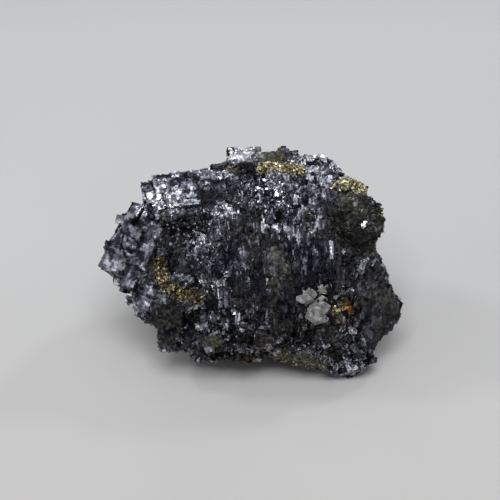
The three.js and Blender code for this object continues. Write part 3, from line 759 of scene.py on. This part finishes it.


# Zones of the front, each one crystal: middle and reach [right, up], lattice, block size (across, along),
# step height and terrace size (across, along, in depth), all in mm. Then, as shares of the usual: how
# thickly common (`cover`), fine and big blocks and plates grow on it, how far they stand out (`lift`) and
# how much lighter its proud terraces are painted than its sunk ones, as painted light and shade
# (`contrast`). `ribbed` and `calm` are its faces' own look, `longest` is a block's length in steps, and
# `clean` the share of blocks with a smooth face.
PANEL = turn_to((0.04, 0.02, 1), 2)
STACK = turn_of_block((-12, -28, -18))
SLAB = turn_of_block((-13, 4, 8))
ZONES = [
    {"at": (8, -1), "reach": (20, 19), "turn": PANEL, "size": (1.0, 4.2), "step": 0.5,
     "terrace": (1.7, 5.5, 2), "cover": 1.1, "fine": 0.3, "big": 0.15, "lift": 1.3, "ribbed": 1,
     "calm": 0.6, "contrast": 1.1, "longest": 2.6, "clean": 0.8},
    {"at": (4, 18), "reach": (14, 7), "turn": turn_to((0, 0.3, 0.95), -3), "size": (0.9, 1.7), "step": 0.4,
     "terrace": (1.6, 3.2, 2), "cover": 0.8, "fine": 1.8, "big": 0.05},
    {"at": (-10, 1), "reach": (7, 9), "turn": turn_to((-0.2, 0, 0.98), 7), "size": (1.1, 1.4),
     "step": 0.45, "cover": 0.8, "fine": 1.8, "big": 0.1, "contrast": 0.6},
    {"at": (-20, 20), "reach": (14, 9), "turn": SLAB, "size": (1.5, 1.2), "step": 0.25,
     "terrace": (4.5, 3.5, 1.2), "cover": 0.35, "fine": 0.5, "big": 0.1, "plates": 0, "lift": 0.6,
     "calm": 0.45, "contrast": 0.45},
    {"at": (-38, 4), "reach": (11, 16), "turn": STACK, "size": (2.6, 2.4), "step": 0.6,
     "terrace": (4.2, 3.6, 3), "cover": 0.02, "fine": 0.03, "big": 0.05, "plates": 0.05, "lift": 0.5,
     "calm": 0.95, "contrast": 0.7},
    {"at": (-30, -9), "reach": (7, 7), "turn": STACK, "size": (2.4, 2.2), "step": 0.6,
     "terrace": (2.4, 2.4, 2), "cover": 0.1, "fine": 0.1, "big": 0.2, "plates": 0.8, "lift": 0.6,
     "calm": 0.9},
    {"at": (-26, -17), "reach": (6, 9), "turn": turn_to((-0.2, -0.3, 0.9), 12), "size": (1.2, 1.6),
     "step": 0.4, "cover": 0.25, "fine": 0.35, "big": 0.1, "lift": 0.5, "calm": 0.7},
    {"at": (-15, -20), "reach": (7, 7), "turn": turn_to((0.2, -0.45, 0.87), 19), "size": (1.5, 1.8),
     "step": 0.5, "cover": 0.7, "fine": 1.2, "big": 0.4},
    {"at": (22, 22), "reach": (13, 9), "turn": turn_to((0.25, 0.45, 0.85), -8), "size": (0.8, 1.5),
     "step": 0.35, "terrace": (2.5, 4, 1.5), "cover": 0.6, "fine": 1.6, "big": 0, "lift": 0.6,
     "calm": 0.5},
    {"at": (26, -26), "reach": (8, 8), "turn": turn_to((0.35, -0.3, 0.88), 32), "size": (1.2, 1.3),
     "step": 0.4, "big": 0.4, "fine": 1.4},
    {"at": (1, -22), "reach": (10, 5), "turn": turn_to((-0.25, -0.3, 0.92), -12), "size": (1.5, 0.8),
     "step": 0.4, "terrace": (4, 1.6, 1.5), "fine": 1.4, "big": 0.2},
    {"at": (-1, 31), "reach": (8, 4.5), "turn": turn_of_block((-20, 14, 3)), "size": (1.8, 1.1),
     "step": 0.35, "terrace": (4, 2.2, 1.5), "cover": 0.2, "fine": 0.25, "big": 0.1, "plates": 0,
     "lift": 0.5, "calm": 0.7, "contrast": 0.7},
    {"at": (-23.5, 2.5), "reach": (5, 7), "turn": turn_to((-0.15, 0.05, 0.98), -6), "size": (1.8, 3),
     "step": 0.4, "terrace": (3, 5, 2), "cover": 0.25, "fine": 0.5, "big": 0, "lift": 0.6, "calm": 0.8,
     "contrast": 0.45},
    {"at": (-10, 28.5), "reach": (3.5, 3), "turn": SLAB, "size": (1.5, 1.2), "step": 0.3, "cover": 0.1,
     "fine": 0.3, "big": 0, "lift": 0.3, "calm": 0.5, "contrast": 0.5},
    {"at": (38, -12), "reach": (8, 15), "turn": turn_to((0.6, -0.1, 0.8), -28), "size": (0.9, 3.2),
     "step": 0.4, "terrace": (2, 7, 2), "cover": 0.25, "fine": 0.25, "big": 0.15, "plates": 0.4,
     "lift": 0.6, "calm": 0.75},
]
USUAL_TERRACE = (2.8, 2.8, 1.6)


def plain_crystals(points, normals):
    """Crystals turned at random, scattered all over the lump: the points at their middles, and lattices."""
    picks = []
    for index in random.permutation(len(points)):
        if all(np.linalg.norm(points[index] - points[other]) > CRYSTAL_SPACING for other in picks):
            picks.append(index)
        if len(picks) == PLAIN_CRYSTALS:
            break
    crystals = []
    for index in picks:
        tilt = Vector(random.normal(0, 0.28, 3)) + Vector(normals[index])
        roll = Matrix.Rotation(random.uniform(0, math.pi), 3, "Z")
        turn = np.array(tilt.to_track_quat("Z", "Y").to_matrix() @ roll)
        crystals.append({"turn": turn, "size": tuple(random.uniform(1.1, 2.0, 2)),
                         "step": random.uniform(0.35, 0.6)})
    return picks, crystals


def choose_domains(points, normals, seen):
    """The crystal that each point belongs to: a zone of the front, or one of many turned at random."""
    picks, crystals = plain_crystals(points, normals)
    shaken = points + 1.5 * np.stack([waves(points, 5, 10 + i) for i in range(3)], axis=1)
    nearest = np.full(len(points), np.inf)
    domain = np.zeros(len(points), dtype=int)
    for number, index in enumerate(picks):
        away = np.linalg.norm(shaken - points[index], axis=1)
        closer = away < nearest
        nearest[closer] = away[closer]
        domain[closer] = number
    front = normals @ np.array(NEAR) > -0.5
    wobble = waves(seen, 4, 20)
    best = np.full(len(points), 1.0)
    for number, zone in enumerate(ZONES):
        away = away_from(seen, zone) + 0.12 * wobble
        inside = front & (away < best)
        best[inside] = away[inside]
        domain[inside] = len(crystals) + number
    return domain, crystals + ZONES


def terraces(points, domain, lattices):
    """How proud each point stands, from 0 to 1: each crystal is broken into terraces along its lattice."""
    levels = random.uniform(0, 1, 4096) ** 1.4
    shaken = points + 0.6 * np.stack([waves(points, 2.2, 40 + i) for i in range(3)], axis=1)
    proud = np.empty(len(points))
    for number, lattice in enumerate(lattices):
        mine = domain == number
        cell = np.floor((shaken[mine] @ lattice["turn"]) / lattice.get("terrace", USUAL_TERRACE)).astype(int)
        proud[mine] = levels[(cell @ (73, 911, 3571) + 131 * number) % len(levels)]
    return proud


def shares_of(key, usual=1.0):
    """A number that each point's crystal has, such as how thickly it is covered."""
    return np.array([lattice.get(key, usual) for lattice in lattices])[domain]


# Blocks and grains
def placed(basis, middle):
    """A 4x4 matrix in metres from axes and a middle in mm."""
    matrix = np.eye(4)
    matrix[:3, :3] = basis * MM
    matrix[:3, 3] = middle * MM
    return Matrix(matrix)


# The four corners on the outer side of a cube of side 2, by the axis that points outward.
OUTER_CORNERS = [np.roll([(1, 1, 1), (1, 1, -1), (1, -1, 1), (1, -1, -1)], axis, axis=1)
                 for axis in range(3)]


def cleavage_blocks(picks, proud, scale, lift, shake):
    """Places, as 4x4 matrices in metres, of small blocks split along each crystal's lattice."""
    places = []
    surface = kdtree.KDTree(len(points))
    for number, point in enumerate(points):
        surface.insert(point, number)
    surface.balance()
    corner_reach = 0.95 + 0.2 * scale
    for number, index in enumerate(picks):
        lattice = lattices[domain[index]]
        turn = lattice["turn"]
        place = turn.T @ points[index]
        facing = turn.T @ normals[index]
        top = int(np.argmax(np.abs(facing)))
        sign = 1.0 if facing[top] > 0 else -1.0
        step = lattice["step"] * scale
        wanted = lattice["size"]
        size = np.empty(3)
        middle = place.copy()
        sides = [i for i in range(3) if i != top]
        for i in sides:
            long = wanted[i] if i < 2 else min(wanted)
            long = long * scale * random.uniform(0.6, 1.5)
            slope = abs(facing[i]) / abs(facing[top])
            most = lattice.get("longest", 1.3) * step / (slope + 0.1)
            size[i] = max(NARROWEST_BLOCK, min(long, most))
            snapped = round(place[i] / (BLOCK_GRID * scale)) * BLOCK_GRID * scale
            middle[i] = snapped + random.uniform(-0.03, 0.03)
        height = place[top] * sign + (1.5 * proud[number] - 0.5) * lift * lattice.get("lift", 1)
        height = round(height / step) * step + random.uniform(-0.02, 0.02)
        root = place[top] * sign - 0.9 * scale - 0.5
        size[top] = max(height - root, 0.3)
        middle[top] = sign * (height - size[top] / 2)
        for _ in range(3):
            corners = [middle + size * corner for corner in OUTER_CORNERS[top] * sign / 2]
            if max(surface.find(turn @ corner)[2] for corner in corners) > corner_reach:
                size[sides] *= 0.6
        shaken = Euler(random.normal(0, shake, 3) * (6 if random.random() < 0.12 else 1)).to_matrix()
        places.append(placed(turn @ np.array(shaken) @ np.diag(size), turn @ middle))
    return places


def grain_places(picks, low, high, lift, sunk=0):
    """Places of grains from `low` to `high` mm that sit on the surface at the picked points, turned at
    random: `lift` in mm, `sunk` as a share of each grain's size."""
    places = []
    for index in picks:
        size = random.uniform(low, high) * random.uniform(0.7, 1.3, 3)
        turn = np.array(Euler(random.uniform(0, 6.3, 3)).to_matrix())
        rise = lift * random.uniform(-0.3, 1) - sunk * size.min()
        places.append(placed(turn @ np.diag(size), points[index] + normals[index] * rise))
    return places


def chipped_cube(jitter):
    """A cube of side 1 with its corners a little out of true."""
    bm = bmesh.new()
    bmesh.ops.create_cube(bm, size=1.0)
    for vert in bm.verts:
        vert.co += Vector(random.uniform(-jitter, jitter, 3))
    mesh = bpy.data.meshes.new("chipped_cube")
    bm.to_mesh(mesh)
    bm.free()
    return mesh


def shard(corners, dice=random):
    """An angular grain about 1 across: the hull of points on a ball."""
    bm = bmesh.new()
    for direction in dice.normal(0, 1, (corners, 3)):
        bm.verts.new(Vector(direction).normalized() * dice.uniform(0.42, 0.55))
    bmesh.ops.convex_hull(bm, input=bm.verts)
    loose = [vert for vert in bm.verts if not vert.link_faces]
    bmesh.ops.delete(bm, geom=loose, context="VERTS")
    bmesh.ops.recalc_face_normals(bm, faces=bm.faces)
    mesh = bpy.data.meshes.new("shard")
    bm.to_mesh(mesh)
    bm.free()
    return mesh


def write_attribute(mesh, name, values):
    layer = mesh.attributes.new(name, "FLOAT", "POINT")
    layer.data.foreach_set("value", np.asarray(values, dtype=np.float32))


def join_copies(name, shapes, places, values):
    """One mesh with a copy of one of the shapes at each place, and each copy's values as attributes."""
    whole = bmesh.new()
    counts = []
    for number, place in enumerate(places):
        shape = shapes[number % len(shapes)]
        shape.transform(place)
        whole.from_mesh(shape)
        shape.transform(place.inverted())
        counts.append(len(shape.vertices))
    mesh = bpy.data.meshes.new(name)
    whole.to_mesh(mesh)
    whole.free()
    for key, value in values.items():
        write_attribute(mesh, key, np.repeat(np.clip(value, 0, 1), counts))
    return mesh


def add_piece(name, mesh, material):
    """A finished piece that stands for the lump, kept within its height and reach."""
    places = np.empty(len(mesh.vertices) * 3)
    mesh.vertices.foreach_get("co", places)
    low, high = np.array(cad_box) + np.array([(-1, -1, 0), (1, 1, 1)]) * MM
    mesh.vertices.foreach_set("co", np.clip(places.reshape(-1, 3), low, high).ravel())
    mesh.materials.append(material)
    piece = bpy.data.objects.new(name, mesh)
    bpy.context.scene.collection.objects.link(piece)
    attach(piece, "root")
    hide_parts("galena_rock")


# The pieces
def grow_galena(name, chances):
    """Cleavage blocks of one size over the whole lump, as thickly as the chances say."""
    count, scale, lift, shake, jitter = GALENA_BLOCKS[name]
    picks = random.choice(len(points), count, replace=False, p=chances / chances.sum())
    proud = 0.6 * terrace[picks] + 0.4 * random.uniform(0, 1, count)
    places = cleavage_blocks(picks, proud, scale, lift, shake)
    values = {key: looks[key][picks] for key in looks}
    # Each block's shine steps at random, and is painted lighter the prouder it stands: painted light and
    # shade.
    flicker = random.choice([-0.14, 0.0, 0.16], count, p=[0.4, 0.4, 0.2]) + 0.3 * (proud - 0.45)
    clean = random.uniform(0, 1, count) < shares_of("clean", 0.25)[picks]
    values["calm"] = np.maximum(values["calm"], 0.9 * clean)
    flicker *= 1 + 0.6 * clean
    values["shine"] = values["shine"] + flicker * (1 - 0.55 * np.clip(values["matte"], 0, 1))
    shapes = [chipped_cube(jitter) for _ in range(9)]
    add_piece(name, join_copies(name, shapes, places, values), galena)


def grow_brass():
    """Crusts of fine brassy grains: along their lines in front, and in a few spots behind."""
    picks = []
    shade = []
    front = normals @ np.array(NEAR) > -0.1
    for crust in CRUSTS:
        away = away_from_line(seen, crust["line"]) + 0.5 * waves(seen, 2, 30)
        chances = front * np.exp(-((away / crust["width"]) ** 4))
        picks.extend(random.choice(len(points), crust["grains"], p=chances / chances.sum()))
        shade.extend(crust["shade"] + 0.35 * waves(points[picks[-crust["grains"]:]], 2.4, 33))
    for middle in points[random.choice(len(points), BACK_CRUSTS, p=behind / behind.sum())]:
        away = np.linalg.norm(points - middle, axis=1)
        chances = behind * np.exp(-((away / BACK_CRUST_REACH) ** 3)) * clear_of_floor
        chances *= waves(points, 3, 31) > 0
        picks.extend(random.choice(len(points), BACK_CRUST_GRAINS, p=chances / chances.sum()))
        shade.extend([0] * BACK_CRUST_GRAINS)
    shapes = [chipped_cube(0.12) for _ in range(5)] + [shard(9) for _ in range(4)]
    places = grain_places(picks, 0.25, 0.62, 0.7)
    values = {"shade": random.uniform(0.1, 0.9, len(picks)) + np.array(shade)}
    mesh = join_copies("brassy_crusts", shapes, places, values)
    add_piece("brassy_crusts", mesh, brassy_material())


def grow_zinc_ore():
    """Dark angular grains, partly sunk in the lump, where its surface is zinc ore."""
    chances = np.clip(looks["ore"] - 0.75, 0, 0.3) * clear_of_floor
    picks = random.choice(len(points), ZINC_ORE_GRAINS, replace=False, p=chances / chances.sum())
    shapes = [shard(14) for _ in range(10)]
    places = grain_places(picks, 0.8, 3.0, 0, 0.3)
    shade = random.choice([0.1, 0.3, 0.5, 0.9], len(picks), p=[0.5, 0.32, 0.15, 0.03])
    # The grains take the shine patches, so the painted shade in the crevice and the painted light on top
    # show on them too.
    values = {"shade": shade + 0.8 * (looks["shine"][picks] - 0.15)}
    mesh = join_copies("zinc_ore_grains", shapes, places, values)
    add_piece("zinc_ore_grains", mesh, zinc_ore_material())


def away_from_grain(grain):
    """Distance of each point from a quartz grain's middle, as the viewer sees it."""
    return np.hypot(seen[:, 0] - grain["at"][0], seen[:, 1] - grain["at"][1])


def grow_quartz():
    """Milky grains, each cracked into a few shards that overlap."""
    dice = np.random.default_rng(5)
    shapes = []
    places = []
    for grain in QUARTZ:
        away = away_from_grain(grain)
        away[normals @ np.array(NEAR) < 0] += 100
        depth = seen[np.argsort(away)[:12], 2].mean() - 0.3
        at = np.array(grain["at"]) * (1 - depth / CAMERA_AWAY)
        for _ in range(SHARDS_PER_GRAIN):
            turn = np.array(Matrix.Rotation(math.radians(grain["roll"] + dice.uniform(-25, 25)), 3, "Z"))
            size = np.array(grain["size"]) * dice.uniform(0.65, 0.85)
            shift = turn @ (np.array(grain["size"]) * dice.uniform(-0.11, 0.11, 3))
            middle = np.array(MIDDLE) + from_view(np.array((*at, depth)) + shift)
            shapes.append(shard(12, dice))
            places.append(placed(AXES.T @ turn @ np.diag(size), middle))
    add_piece("quartz_grains", join_copies("quartz_grains", shapes, places, {}), quartz_material())


def finish_mass():
    """The body itself, dented between the blocks and painted darker there as shade between them, but not
    where it is calm.
    """
    dent = 0.25 * waves(points, 1.6, 7) + 0.3 * waves(points, 4, 8)
    dent = (dent + 0.5 * (terrace - 0.5)) * (1 - 0.9 * looks["calm"])
    dent[points[:, 2] < 1.0] = 0
    sunk = 0.3 * clear_of_floor * (1 - looks["calm"])
    mass.vertices.foreach_set("co", ((points + normals * (dent - sunk)[:, None]) * MM).ravel())
    mass.polygons.foreach_set("use_smooth", np.zeros(len(mass.polygons), dtype=bool))
    # Painted shade: the body between the blocks is darker, except where it is calm.
    looks["shine"] = looks["shine"] - 0.22 * (1 - looks["calm"])
    for key, value in looks.items():
        write_attribute(mass, key, np.clip(value, 0, 1))
    add_piece("galena_mass", mass, galena)


# Making
place_camera()
light_room()
lay_floor()
bpy.context.scene.view_settings.view_transform = "Standard"

galena = galena_material()
mass = rock_surface()
points, normals = read_points(mass)
points = bulge(points, normals, to_view(points))
seen = to_view(points)
looks = looks_at(seen, normals)
domain, lattices = choose_domains(points, normals, seen)
terrace = terraces(points, domain, lattices)
looks["ribbed"] = shares_of("ribbed", 0)
looks["calm"] = shares_of("calm", 0)
# Proud terraces are painted lighter and sunk ones darker: painted light and shade.
looks["shine"] = looks["shine"] + 0.55 * (terrace - 0.42) * shares_of("contrast")

# How far blocks and grains may grow at each point.
clear_of_floor = (points[:, 2] > 2.0).astype(float)
behind = np.clip(-(normals @ np.array(NEAR)), 0, 1) * clear_of_floor
facing_viewer = np.clip(normals @ np.array(NEAR) + 0.4, 0.08, 1)
no_ore = np.clip(1.2 - 1.2 * looks["ore"], 0.05, 1)
clear_of_crusts = np.ones(len(points))
for crust in CRUSTS:
    near_crust = np.exp(-((away_from_line(seen, crust["line"]) / crust["width"]) ** 4)) * facing_viewer
    looks["olive"] = looks["olive"] + CRUST_OLIVE * near_crust
    clear_of_crusts *= 1 - near_crust
clear_of_quartz = np.ones(len(points))
for grain in QUARTZ:
    foot = GRAIN_FOOT * min(grain["size"][:2])
    under_grain = (away_from_grain(grain) < foot) & (facing_viewer > 0.5)
    clear_of_quartz[under_grain] = 0
bare = clear_of_floor * no_ore * clear_of_quartz
for line in PARTINGS:
    parting = (away_from_line(seen, line) < PARTING_WIDTH) & (facing_viewer > 0.5)
    bare[parting] = 0
    looks["shine"][parting] -= PARTING_SHADE

grow_galena("galena_plates", bare * clear_of_crusts * shares_of("plates", 0))
grow_galena("galena_blocks", bare * clear_of_crusts * shares_of("big"))
grow_galena("galena_steps", bare * shares_of("cover"))
grow_galena("galena_fine_steps", bare * facing_viewer * shares_of("fine"))
grow_brass()
grow_zinc_ore()
grow_quartz()
finish_mass()
